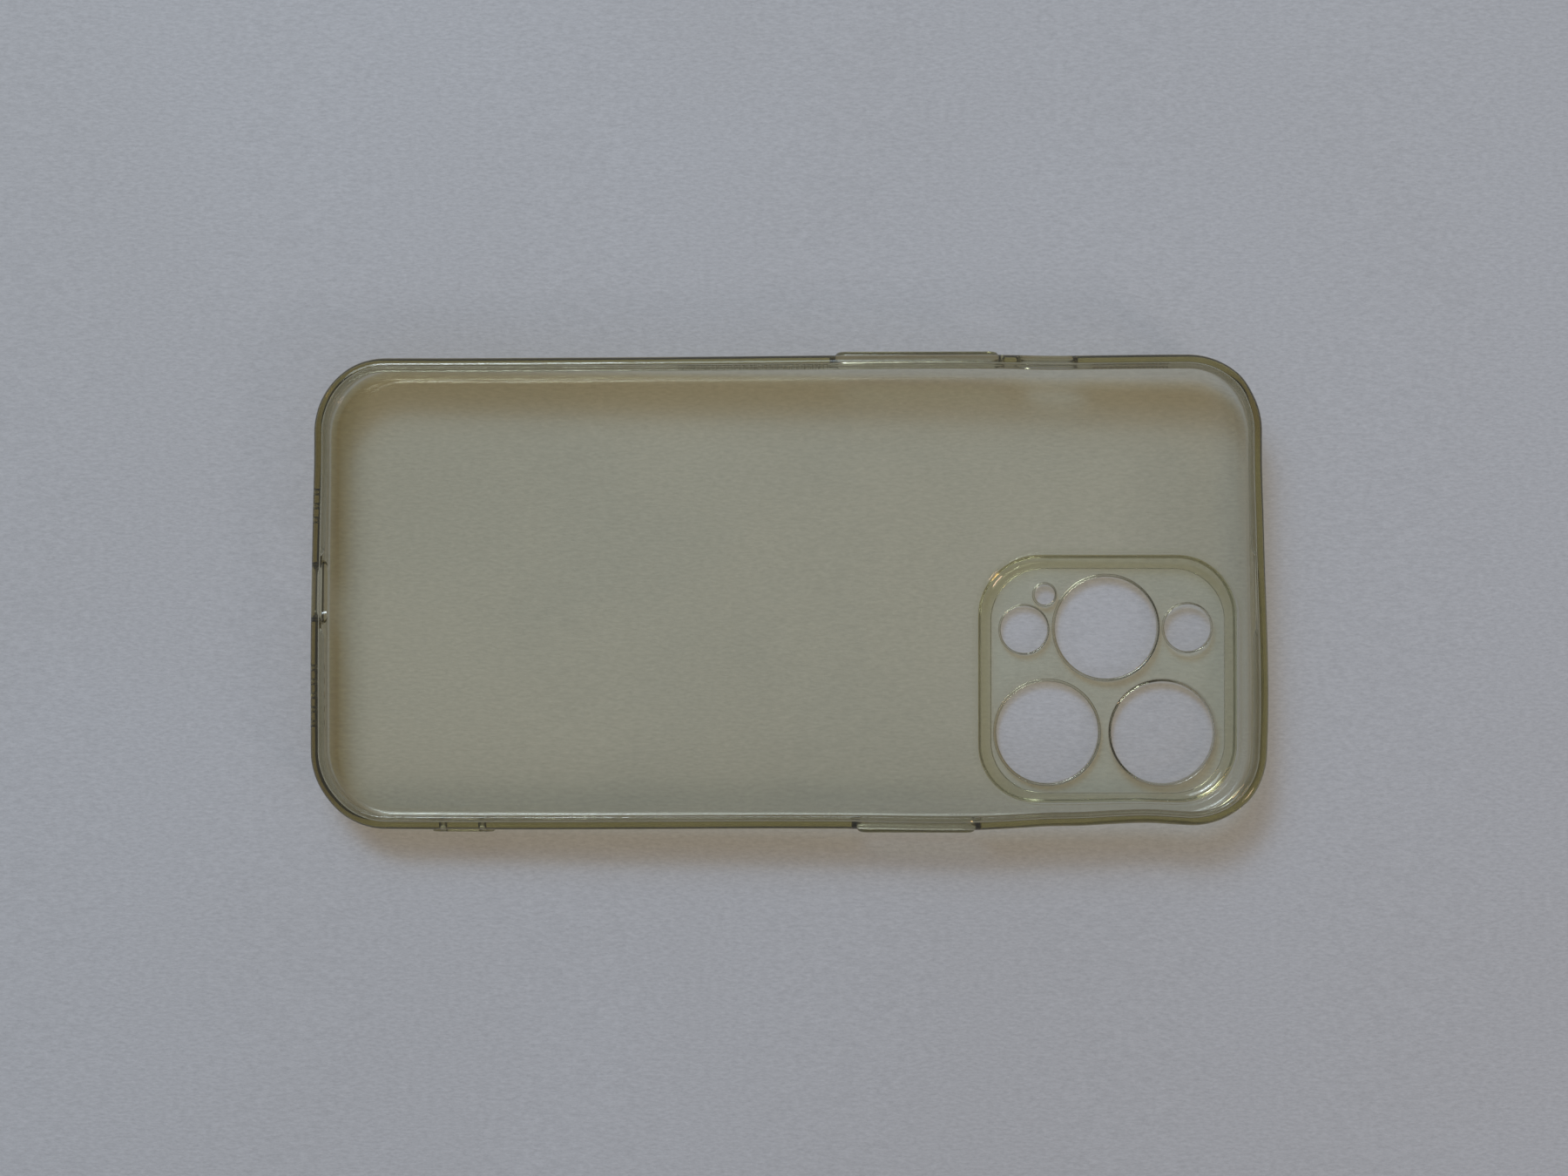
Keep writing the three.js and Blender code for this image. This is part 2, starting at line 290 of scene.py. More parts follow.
def weld(zones, name, warp=None):
    # joins the patches of every zone, merges their shared rims, points the faces outwards and
    # writes metres. Each face keeps what its zone says under "film" and "wall"
    points, faces, film, wall, start = [], [], [], [], 0
    for (filmed, walled), patches in zones:
        for p, f in patches:
            points.append(p)
            faces += [tuple(v + start for v in face) for face in f]
            film.append(np.full(len(f), filmed))
            wall.append(np.full(len(f), walled))
            start += len(p)
    points = np.vstack(points)
    mesh = bpy.data.meshes.new(name)
    mesh.from_pydata((points * mm).tolist(), [], faces)
    for key, values in (("film", film), ("wall", wall)):
        layer = mesh.attributes.new(key, "FLOAT", "FACE")
        layer.data.foreach_set("value", np.concatenate(values).astype(np.float32))
    work = bmesh.new()
    work.from_mesh(mesh)
    bmesh.ops.remove_doubles(work, verts=work.verts, dist=2e-7)
    bmesh.ops.dissolve_degenerate(work, edges=work.edges, dist=1e-8)
    bmesh.ops.recalc_face_normals(work, faces=work.faces)
    openEdges = sum(1 for e in work.edges if len(e.link_faces) != 2)
    work.to_mesh(mesh)
    work.free()
    if warp is not None:
        co = np.empty(len(mesh.vertices) * 3)
        mesh.vertices.foreach_get("co", co)
        co = warp(co.reshape(-1, 3) / mm) * mm
        mesh.vertices.foreach_set("co", co.ravel())
    mesh.shade_smooth()
    mesh.update()
    mesh.normals_split_custom_set_from_vertices(cornerNormals(mesh).tolist())
    piece = bpy.data.objects.new(name, mesh)
    scene.collection.objects.link(piece)
    print(name, len(mesh.polygons), "faces,", openEdges, "open edges")
    return piece


moulding = {
    "wall": 1.2,
    "backRun": 2.4, "backRise": 1.5,        # the outer back edge is a quarter ellipse
    "flatLow": 4.1, "flatHigh": 10.74,      # between these heights the walls are flat
    "flatRows": 6,
    "footWidth": 1.7, "footNarrow": 0.6,    # the inner back edge, another quarter ellipse
    "nearPocketX": (20, 29), "nearPocketY": (8, 16), "nearLock": (22, 34),  # where it narrows
    "lipEdge": 1.34, "lipNose": 0.42, "lipBelow": 0.38, "lipRoot": 0.5,     # the lip's roundings
    "step": 1.6, "cornerSteps": 24,         # how closely points follow the outline
}
caseOutline = boxOutline(-outerX, outerX, -outerY, outerY, cornerRadius,
                         moulding["step"], moulding["cornerSteps"])
flatHeights = np.linspace(moulding["flatLow"], moulding["flatHigh"], moulding["flatRows"])

# the order of an outline's sides, and for each its axis, its direction and its outer face
cameraEnd, volumeSide, portEnd, lockSide = range(4)
facing = [("x", 1, outerX), ("y", 1, outerY), ("x", -1, outerX), ("y", -1, outerY)]


def footWidth():
    # the foot is narrower on the lock side and beside the camera pocket
    m = moulding
    x, y = caseOutline[0].T
    nearPocket = eased(x, *m["nearPocketX"]) * (1 - eased(y, *m["nearPocketY"]))
    narrow = np.maximum(nearPocket, eased(-y, *m["nearLock"]))
    return m["footWidth"] * (1 - narrow) + m["footNarrow"] * narrow


def ringPatches():
    # back edge, lip and foot: profiles carried round the case, with room left for the flat
    # walls. The two back edges run as 1 - sin t or 1 - cos t along and cos t or sin t up
    m = moulding
    t = np.linspace(0, math.pi / 2, 13)
    backEdge = np.column_stack([-m["backRun"] * (1 - np.sin(t)),
                                m["flatLow"] - m["backRise"] * np.cos(t)])
    lip = filletedPath([
        (0, m["flatHigh"], 0), (0, frontTop, m["lipEdge"]), (-lipInset, frontTop, m["lipNose"]),
        (-lipInset, lipUnder, m["lipBelow"]), (-m["wall"], lipUnder, m["lipRoot"]),
        (-m["wall"], m["flatHigh"], 0),
    ], 8)
    width, fall = footWidth(), m["flatLow"] - backInner
    t = np.linspace(0, math.pi / 2, 11)[:, None]
    foot = np.stack([-m["wall"] - width * (1 - np.cos(t)),
                     m["flatLow"] - fall * np.sin(t) * np.ones_like(width)], -1)
    return band(caseOutline, backEdge), band(caseOutline, lip), band(caseOutline, foot)


def cornerPatches(growth):
    # the upright stretch of the ring, at the corners and along the end without windows
    sides = caseOutline[2]
    profile = np.column_stack([np.full(len(flatHeights), growth), flatHeights])
    count = len(caseOutline[0])
    runs = []
    for before, after in ((lockSide, volumeSide), (volumeSide, portEnd), (portEnd, lockSide)):
        first, last = sides[before][-1], sides[after][0]
        length = (last - first) % count
        runs.append(band(caseOutline, profile, part=(first + np.arange(length + 1)) % count))
    return runs


def wallSheet(side, growth, holesInWall):
    # one flat wall face, with loops cut out of it. Points between keep it even when it bends
    axis, sign, face = facing[side]
    points = caseOutline[0][caseOutline[2][side]]
    along = points[:, 0] if axis == "y" else points[:, 1]
    low, between, high = flatHeights[0], flatHeights[1:-1], flatHeights[-1]
    rim = np.vstack([
        np.column_stack([along, np.full(len(along), low)]),
        np.column_stack([np.full(len(between), along[-1]), between]),
        np.column_stack([along[::-1], np.full(len(along), high)]),
        np.column_stack([np.full(len(between), along[0]), between[::-1]]),
    ])
    a, b = np.meshgrid(along[1:-1], between)
    extra = np.column_stack([a.ravel(), b.ravel()])
    clearance = 0.5    # no such point lies this close to a hole
    for loop in holesInWall:
        centre = loop.mean(0)
        reach = np.abs(loop - centre).max(0) + clearance
        extra = extra[(np.abs(extra - centre) > reach).any(1)]
    return sheet([rim] + holesInWall, sign * (face + growth), axis, extra)


windows = {
    "height": 4.8, "radius": 2.1, "edges": (0.3, 0.2),    # outer and inner rounding
    "port": (-4.8, 4.8), "mute": (36.2, 45.8),            # from and to, along the wall
    "soundRadius": 0.55, "soundPitch": 2.2, "soundEdges": (0.12, 0.08), "soundSteps": 20,
    "microphones": (13.6, 3), "speakers": (-16.35, 5),    # middle and how many
    "buttonEdges": (0.12, 0.1),
}
lanyard = {
    "holeInset": 1.85, "holeWidth": 1.3, "holeHeight": 2.2, "holeEdges": (0.15, 0.12),
    "corner": 1.0, "round": 0.3, "land": 0.03, "foot": 0.3, "footRound": 0.2,
}
buttons = {"volume_button": 1, "lock_button": -1}         # which way each faces along y
pad = {"corner": 0.4, "rounding": 0.75, "faceLand": 0.1, "backRound": 0.12, "backLand": 0.2}
web = {
    "width": 0.9, "gap": 0.03,
    "outer": (36.86, 36.78, 36.64), "inner": (36.4, 36.5, 36.58),   # y from the wall in, and back
    "bendsFrom": 36.9, "bendsTo": 36.4,
}
coverLow, coverHigh = nodeBox("volume_button_cover")
middleHeight = (coverLow[2] + coverHigh[2]) / 2
almost = 0.98    # a hole's rounding ends just inside the loop that is cut for it


def windowOutline(left, right, height, radius, step=1.2, arcSteps=10):
    # a rounded box in a wall, at the height of the buttons' middle
    low, high = middleHeight - height / 2, middleHeight + height / 2
    return boxOutline(left, right, low, high, radius, step, arcSteps)


def tunnel(outline, side, edges, proud=0.0):
    # a hole through a wall with both its rims rounded: across, then in, then back across
    axis, sign, face = facing[side]
    outer, inner = face + proud, face - moulding["wall"]
    profile = filletedPath([
        (edges[0], outer, 0), (0, outer, edges[0] * almost),
        (0, inner, edges[1] * almost), (edges[1], inner, 0),
    ], 5)
    profile[:, 1] *= sign
    return band(outline, profile, axis)


def plainWindow(outline, side, edges):
    # the hole's patch, and the loops it takes out of the wall's outer and inner faces
    return {"side": side, "outer": [grown(outline, edges[0])], "inner": [grown(outline, edges[1])],
            "patches": [tunnel(outline, side, edges)]}


def soundHoles(place):
    # a row of round holes in the port end
    w = windows
    middle, count = place
    made = []
    for k in range(count):
        y = middle + (k - (count - 1) / 2) * w["soundPitch"]
        outline = circleOutline(y, middleHeight, w["soundRadius"], w["soundSteps"])
        made.append(plainWindow(outline, portEnd, w["soundEdges"]))
    return made


def lanyardWindow():
    # a low boss on the outside of the lock wall with two cord holes that reach the inside
    d = lanyard
    left, right = lanyardLow[0], lanyardHigh[0]
    boss = windowOutline(left, right, lanyardHigh[2] - lanyardLow[2], d["corner"], 0.8, 8)
    proud = -lanyardLow[1] - outerY
    faceEdge = -d["round"] - d["land"]
    profile = filletedPath([
        (d["foot"], outerY, 0), (0, outerY, d["footRound"]), (0, outerY + proud, d["round"]),
        (faceEdge, outerY + proud, 0),
    ], 5)
    profile[:, 1] *= -1
    cords = []
    for x in (left + d["holeInset"], right - d["holeInset"]):
        half = d["holeWidth"] / 2
        cords.append(windowOutline(x - half, x + half, d["holeHeight"], half * 0.95, 0.5, 7))
    outer, inner = d["holeEdges"]
    face = sheet([grown(boss, faceEdge)] + [grown(c, outer) for c in cords], -(outerY + proud), "y")
    patches = [band(boss, profile, "y"), face]
    patches += [tunnel(c, lockSide, d["holeEdges"], proud) for c in cords]
    return {"side": lockSide, "outer": [grown(boss, d["foot"])],
            "inner": [grown(c, inner) for c in cords], "patches": patches}


def coverOutline(button, growth=0.0):
    # a button's rounded outline, moved outwards by growth
    low, high = nodeBox(button + "_cover")
    height = high[2] - low[2]
    return windowOutline(low[0] - growth, high[0] + growth, height + 2 * growth,
                         pad["corner"] * height + growth)


def windowsInWalls():
    w = windows
    made = [plainWindow(windowOutline(*w[name], w["height"], w["radius"]), side, w["edges"])
            for name, side in (("port", portEnd), ("mute", volumeSide))]
    made.append(lanyardWindow())
    made += soundHoles(w["microphones"]) + soundHoles(w["speakers"])
    for button, way in buttons.items():
        side = volumeSide if way > 0 else lockSide
        made.append(plainWindow(coverOutline(button, web["width"]), side, w["buttonEdges"]))
    return made


cameraPocket = {
    "deckInset": 0.3, "deckCorner": 8.0, "guardInset": 0.35, "guardCorner": 9.5,
    "run": 2.2, "top": 0.45, "wider": 0.34, "steepest": 72,   # the cove down to the deck
    "deckLand": 0.13, "seat": 0.3, "seatLand": 0.12, "seatRound": 0.1,
    "rimRound": 0.28, "rimLand": 0.3,
    "guardRound": 1.0, "guardLand": 0.04, "backRound": 0.22, "backLand": 0.25,
    "step": 1.2, "cornerSteps": 22,
}
holes = {
    # node: (points round the rim, collar width, inner rounding)
    "lens_collar_inner": (96, 0.45, 0.3),
    "lens_collar_port_side": (96, 0.45, 0.22),
    "lens_collar_top_side": (96, 0.45, 0.6),
    "flash_hole_collar": (64, 0.3, 0.2),
    "sensor_hole_collar": (64, 0.3, 0.2),
    "microphone_hole_collar": (40, 0.35, 0.2),
}
cadCollarWidth = {"lens": 0.55, "flash": 0.35, "sensor": 0.35, "microphone": 0.45}
collar = {"round": 0.42, "rootRound": 0.06, "rootLand": 0.08}   # round is a share of its width


def insetOutline(low, high, inset, radius):
    # a CAD node's outline in plan, moved inwards
    c = cameraPocket
    return boxOutline(low[0] + inset, high[0] - inset, low[1] + inset, high[1] - inset, radius,
                      c["step"], c["cornerSteps"])


deckOutline = insetOutline(deckLow, deckHigh, cameraPocket["deckInset"], cameraPocket["deckCorner"])
guardOutline = insetOutline(guardLow, guardHigh, cameraPocket["guardInset"],
                            cameraPocket["guardCorner"] - cameraPocket["guardInset"])
# the pocket's slope is wider towards the middle of the case, where it has room
away = np.maximum(deckOutline[1] * [-1, 1], 0)
deckOutline[1][:] *= 1 + cameraPocket["wider"] * (away ** 2).sum(1, keepdims=True)


def holePlace(node):
    # centre and radius of the hole inside a CAD collar
    low, high = nodeBox(node)
    width = cadCollarWidth[node.split("_")[0]]
    return (low[0] + high[0]) / 2, (low[1] + high[1]) / 2, (high[0] - low[0]) / 2 - width


def pocketPatches():
    # the camera pocket: a cove from the back down to the deck, a quarter of an ellipse that
    # starts level with the deck, and the guard round its outside
    c = cameraPocket
    run, top, fall = c["run"], c["top"], backInner - deckInner
    t = np.linspace(math.radians(c["steepest"]), 0, 14)
    cove = np.column_stack([run * np.sin(t), backInner - fall * np.cos(t)])
    shoulder = filletedPath([(run + top, backInner, 0), (run, backInner, top * 0.9),
                             (*cove[0], 0)], 6)
    slope = np.vstack([shoulder[:-1], cove, [(-c["deckLand"], deckInner)]])
    seat, rimEdge = c["seat"], c["seat"] + c["rimLand"]
    seatEdge, guardEdge = seat - c["seatLand"], -c["guardRound"] - c["guardLand"]
    recess = filletedPath([
        (seatEdge, deckOuter, 0), (seat, deckOuter, c["seatRound"]), (seat, 0, c["rimRound"]),
        (rimEdge, 0, 0),
    ], 5)
    guardWall = filletedPath([
        (guardEdge, 0, 0), (0, 0, c["guardRound"]), (0, backOuter, c["backRound"]),
        (c["backLand"], backOuter, 0),
    ], 8)
    return {
        "patches": [band(deckOutline, slope), band(deckOutline, recess),
                    band(guardOutline, guardWall),
                    sheet([grown(guardOutline, guardEdge), grown(deckOutline, rimEdge)], 0.0)],
        "innerLoop": grown(deckOutline, run + top), "deckLoop": grown(deckOutline, -c["deckLand"]),
        "recessLoop": grown(deckOutline, seatEdge), "guardLoop": grown(guardOutline, c["backLand"]),
    }


def deckPatches(pocket):
    # the deck's two faces, with each hole's rim and the collar that hangs round it
    patches, innerLoops, outerLoops = [], [pocket["deckLoop"]], [pocket["recessLoop"]]
    for node, (count, width, rounding) in holes.items():
        x, y, radius = holePlace(node)
        outline = circleOutline(x, y, radius, count)
        foot, root = nodeBox(node)[0][2], width + collar["rootLand"]
        profile = filletedPath([
            (rounding, deckInner, 0), (0, deckInner, rounding * almost),
            (0, foot, width * collar["round"]), (width, foot, width * collar["round"]),
            (width, deckOuter, collar["rootRound"]), (root, deckOuter, 0),
        ], 5)
        patches.append(band(outline, profile))
        innerLoops.append(grown(outline, rounding))
        outerLoops.append(grown(outline, root))
    return patches, [sheet(innerLoops, deckInner), sheet(outerLoops, deckOuter)]


bends = {
    # (place along the wall, how far it moves), in the case's own x and y
    "topEnd": [(-37, 0.1), (-26, 0.3), (-20, 0.5), (-11, 0.48), (-3, 0.25), (4, 0.0), (11, -0.2),
               (20, -0.45), (27, -0.45), (37, -0.2)],
    "portEnd": [(-37, 0.1), (-20, 0.0), (-9, 0.0), (0, 0.12), (12, 0.35), (22, 0.58), (28, 0.55),
                (37, 0.3)],
    "volumeSide": [(-75, -0.15), (-60, -0.24), (-28, -0.19), (-10, -0.1), (4, 0.0), (36, 0.0),
                   (41, -0.12), (48, -0.08), (56, 0.0), (75, 0.0)],
    "lockSide": [(-75, -0.15), (-62, -0.26), (-41, -0.28), (-27, -0.2), (-12, -0.08), (0, 0.0),
                 (8, 0.0), (33, 0.0), (37, 0.25), (41, 0.5), (46, 0.6), (51, 0.9), (56.5, 1.1),
                 (61, 0.85), (65, 0.6), (70, 0.3), (75, 0.1)],
    "atFoot": 0.5,                                          # a wall's foot moves half as far
    "topWall": (70.2, 73.2), "portWall": (66.0, 72.8),      # each bend fades in between these
    "volumeWall": (30.0, 35.2), "lockWall": (31.5, 35.2),
    "notch": 0.45, "portNotch": 6.0, "topNotch": 6.9,       # depth, and half their lengths
    "notchNose": (11.0, 11.3), "notchInside": (-72.9, -72.5), "notchEase": 0.2, "notchFrom": 70,
}


def settle(p):
    # the bends of an old soft case: each wall moves by its own curve, fully at its lip and less
    # at its foot, and not at all where a button sits. The lip dips at its two end notches
    b, p = bends, p.copy()
    x, y, z = p.T.copy()
    up = b["atFoot"] + (1 - b["atFoot"]) * eased(z, backInner, frontTop)
    p[:, 0] += up * eased(x, *b["topWall"]) * curveThrough(b["topEnd"], y)
    p[:, 0] += up * eased(-x, *b["portWall"]) * curveThrough(b["portEnd"], y)
    p[:, 1] += up * eased(y, *b["volumeWall"]) * curveThrough(b["volumeSide"], x)
    p[:, 1] += up * eased(-y, *b["lockWall"]) * curveThrough(b["lockSide"], x)
    nose = eased(z, *b["notchNose"])
    for sign, half in ((-1, b["portNotch"]), (1, b["topNotch"])):
        atNose = eased(sign * -x, *b["notchInside"])
        inNotch = 1 - eased(abs(y), half - b["notchEase"], half + b["notchEase"])
        p[:, 0] += sign * b["notch"] * nose * atNose * (sign * x > b["notchFrom"]) * inNotch
    return p


tintZones = {
    # which tint a zone takes: how much of the panel's, then how much of the walls', whose darkness
    # is partly painted shade
    "panel": (1.0, 0.0), "deck": (0.0, 0.0), "walls": (0.0, 1.0), "backEdges": (0.9, 0.25),
    "camera": (0.5, 0.1), "pads": (0.0, 0.5), "webs": (0.0, 0.7),
}


def makeMoulding():
    m, pocket = moulding, pocketPatches()
    backEdge, lip, foot = ringPatches()
    walls = [lip] + cornerPatches(0.0) + cornerPatches(-m["wall"])
    found = windowsInWalls()
    for side in (volumeSide, portEnd, lockSide):
        here = [w for w in found if w["side"] == side]
        walls.append(wallSheet(side, 0.0, [loop for w in here for loop in w["outer"]]))
        walls.append(wallSheet(side, -m["wall"], [loop for w in here for loop in w["inner"]]))
    for w in found:
        walls += w["patches"]
    collars, deck = deckPatches(pocket)
    panel = [
        sheet([grown(caseOutline, -m["wall"] - footWidth()), pocket["innerLoop"]], backInner),
        sheet([grown(caseOutline, -m["backRun"]), pocket["guardLoop"]], backOuter),
    ]
    parts = [("panel", panel), ("deck", deck), ("walls", walls), ("walls", collars),
             ("backEdges", [backEdge, foot]), ("camera", pocket["patches"])]
    return weld([(tintZones[zone], patches) for zone, patches in parts], "case_moulding", settle)


def makeCover(button):
    # a pad with a rounded face: its outline carried inwards and outwards of the wall
    low, high = nodeBox(button + "_cover")
    side = buttons[button]
    face, back = (high[1], low[1]) if side > 0 else (-low[1], -high[1])
    outline = coverOutline(button)
    faceEdge, backEdge = -pad["rounding"] - pad["faceLand"], -pad["backLand"]
    profile = filletedPath([
        (backEdge, back, 0), (0, back, pad["backRound"]), (0, face, pad["rounding"]),
        (faceEdge, face, 0),
    ], 7)
    profile[:, 1] *= side
    patches = [band(outline, profile, "y"), sheet([grown(outline, backEdge)], side * back, "y"),
               sheet([grown(outline, faceEdge)], side * face, "y")]
    return weld([(tintZones["pads"], patches)], button + "_pad")


def makeWeb(button):
    # the thin strip round a pad, leaning in from the wall to the pad's back
    gap, wide = web["gap"], web["width"] - web["gap"]
    growth = [wide, wide * 0.5, gap, gap, wide * 0.5, wide]
    profile = np.column_stack([growth, web["outer"] + web["inner"]])
    profile[:, 1] *= buttons[button]
    ring = band(coverOutline(button), profile, "y", closedProfile=True)
    return weld([(tintZones["webs"], [ring])], button + "_web_strip")


case = makeMoulding()
pads = {button: makeCover(button) for button in buttons}
webs = {button: makeWeb(button) for button in buttons}
print("pieces made")


def newGroup(name, inputs, outputs):
    # an empty shader node group. Inputs are (name, kind, value), outputs (name, kind)
    group = bpy.data.node_groups.new(name, "ShaderNodeTree")
    for label, kind, value in inputs:
        socket = group.interface.new_socket(label, in_out="INPUT", socket_type="NodeSocket" + kind)
        if value is not None:
            socket.default_value = value
    for label, kind in outputs:
        group.interface.new_socket(label, in_out="OUTPUT", socket_type="NodeSocket" + kind)
    return group, group.nodes.new("NodeGroupInput"), group.nodes.new("NodeGroupOutput")


def put(tree, kind, inputs=None, **settings):
    # adds a node. An input is either a value or the output socket that feeds it
    node = tree.nodes.new("ShaderNode" + kind)
    for key, value in settings.items():
        setattr(node, key, value)
    for key, value in (inputs or {}).items():
        if isinstance(value, bpy.types.NodeSocket):
            tree.links.new(value, node.inputs[key])
        else:
            node.inputs[key].default_value = value
    return node


def worked(tree, operation, a, b=0.0, c=0.0):
    # one sum on values or sockets
    return put(tree, "Math", {0: a, 1: b, 2: c}, operation=operation).outputs[0]


def mixed(tree, factor, a, b, mode="MIX"):
    # two colours mixed by a factor
    node = put(tree, "Mix", data_type="RGBA", blend_type=mode)
    for socket, value in ((node.inputs[0], factor), (node.inputs[6], a), (node.inputs[7], b)):
        if isinstance(value, bpy.types.NodeSocket):
            tree.links.new(value, socket)
        else:
            socket.default_value = value
    return node.outputs[2]


def cloudyGroup():
    # soft clouds of a second colour in the first, as in unevenly yellowed plastic
    group, given, out = newGroup("cloudyAgeing", [
        ("Vector", "Vector", None), ("Color", "Color", (1, 1, 1, 1)),
        ("Cloud Color", "Color", (0.9, 0.85, 0.7, 1)), ("Amount", "Float", 0.5),
        ("Scale", "Float", 30.0),
    ], [("Color", "Color")])
    broad = put(group, "TexNoise", {
        "Vector": given.outputs["Vector"], "Scale": given.outputs["Scale"],
        "Detail": 3.0, "Roughness": 0.55, "Distortion": 0.6})
    mask = put(group, "MapRange", {
        "Value": broad.outputs["Fac"], "From Min": 0.36, "From Max": 0.66},
        interpolation_type="SMOOTHSTEP").outputs[0]
    amount = worked(group, "MULTIPLY", mask, given.outputs["Amount"])
    color = mixed(group, amount, given.outputs["Color"], given.outputs["Cloud Color"])
    group.links.new(color, out.inputs["Color"])
    return group


def handledGroup():
    # smudges that change the roughness, with hairline scuffs and the soft moulding's slow waves
    group, given, out = newGroup("handledSurface", [
        ("Vector", "Vector", None), ("Smooth", "Float", 0.04), ("Rough", "Float", 0.12),
        ("Scale", "Float", 60.0),
    ], [("Roughness", "Float"), ("Scuffs", "Float"), ("Waves", "Float")])
    vector = given.outputs["Vector"]
    smudge = put(group, "TexNoise", {
        "Vector": vector, "Scale": given.outputs["Scale"], "Detail": 5.0, "Roughness": 0.6})
    span = put(group, "MapRange", {
        "Value": smudge.outputs["Fac"], "From Min": 0.3, "From Max": 0.7,
        "To Min": given.outputs["Smooth"], "To Max": given.outputs["Rough"]})
    stretched = put(group, "Mapping", {
        "Vector": vector, "Rotation": (0, 0, 0.5), "Scale": (60.0, 2400.0, 600.0)})
    hairs = put(group, "TexNoise", {"Vector": stretched.outputs[0], "Scale": 1.0, "Detail": 2.0})
    waves = put(group, "TexNoise", {"Vector": vector, "Scale": 110.0, "Detail": 1.0})
    group.links.new(span.outputs[0], out.inputs["Roughness"])
    group.links.new(hairs.outputs["Fac"], out.inputs["Scuffs"])
    group.links.new(waves.outputs["Fac"], out.inputs["Waves"])
    return group


def ribsGroup():
    # fine upright ribs along a stretch of the case's length
    group, given, out = newGroup("gripRibs", [
        ("Vector", "Vector", None), ("Pitch", "Float", 0.0006), ("Start", "Float", 0.0),
        ("End", "Float", 0.01),
    ], [("Height", "Float")])
    x = put(group, "SeparateXYZ", {0: given.outputs["Vector"]}).outputs[0]
    turns = worked(group, "DIVIDE", x, given.outputs["Pitch"])
    wave = worked(group, "SINE", worked(group, "MULTIPLY", turns, 2 * math.pi))
    after = worked(group, "GREATER_THAN", x, given.outputs["Start"])
    before = worked(group, "LESS_THAN", x, given.outputs["End"])
    height = worked(group, "MULTIPLY", wave, worked(group, "MULTIPLY", after, before))
    group.links.new(height, out.inputs["Height"])
    return group


cloudy, handled, ribs = cloudyGroup(), handledGroup(), ribsGroup()

plastic = {
    "ior": 1.49,
    "clear": 0.96,     # the rest of the light is scattered, which keeps edges from going black
    "deck": (0.945, 0.955, 0.875, 1), "deckCloud": (0.90, 0.90, 0.82, 1), "deckScale": 60.0,
    "panel": (0.99, 0.975, 0.94, 1), "panelCloud": (0.945, 0.94, 0.915, 1), "panelScale": 26.0,
    # the walls' tint is the aged plastic's colour, darkened further by painted shade
    "wall": (0.70, 0.69, 0.64, 1), "wallCloud": (0.66, 0.645, 0.57, 1), "wallScale": 90.0,
    # what a lamp's light keeps at each surface it crosses on its way to the paper
    "deckShade": (0.975, 0.985, 0.99, 1), "panelShade": (0.955, 0.952, 0.925, 1),
    "wallShade": (0.86, 0.765, 0.62, 1),
    "depthColor": (0.72, 0.66, 0.26, 1), "density": 245.0,    # yellower the thicker it is
    "smooth": 0.02, "rough": 0.045, "panelHaze": 0.03,
    "scuffDepth": 0.000002, "waveDepth": 0.00011, "waveOnFlats": 0.12,
    "ribDepth": 0.00006, "ribPitch": 0.0006, "ribRuns": ((-0.017, 0.0068), (0.048, 0.060)),
    # the ribs are on the outermost ribSkin of the wall, and a painted cool shade darkens the panel
    # towards three sides, from edgeInset inwards by edgeReach. ribSkin and edgeInset are in
    # millimetres
    "ribSkin": 0.25,
    "paintedEdgeShade": (0.82, 0.85, 0.865, 1), "edgeInset": 2.2, "edgeReach": 0.007,
}


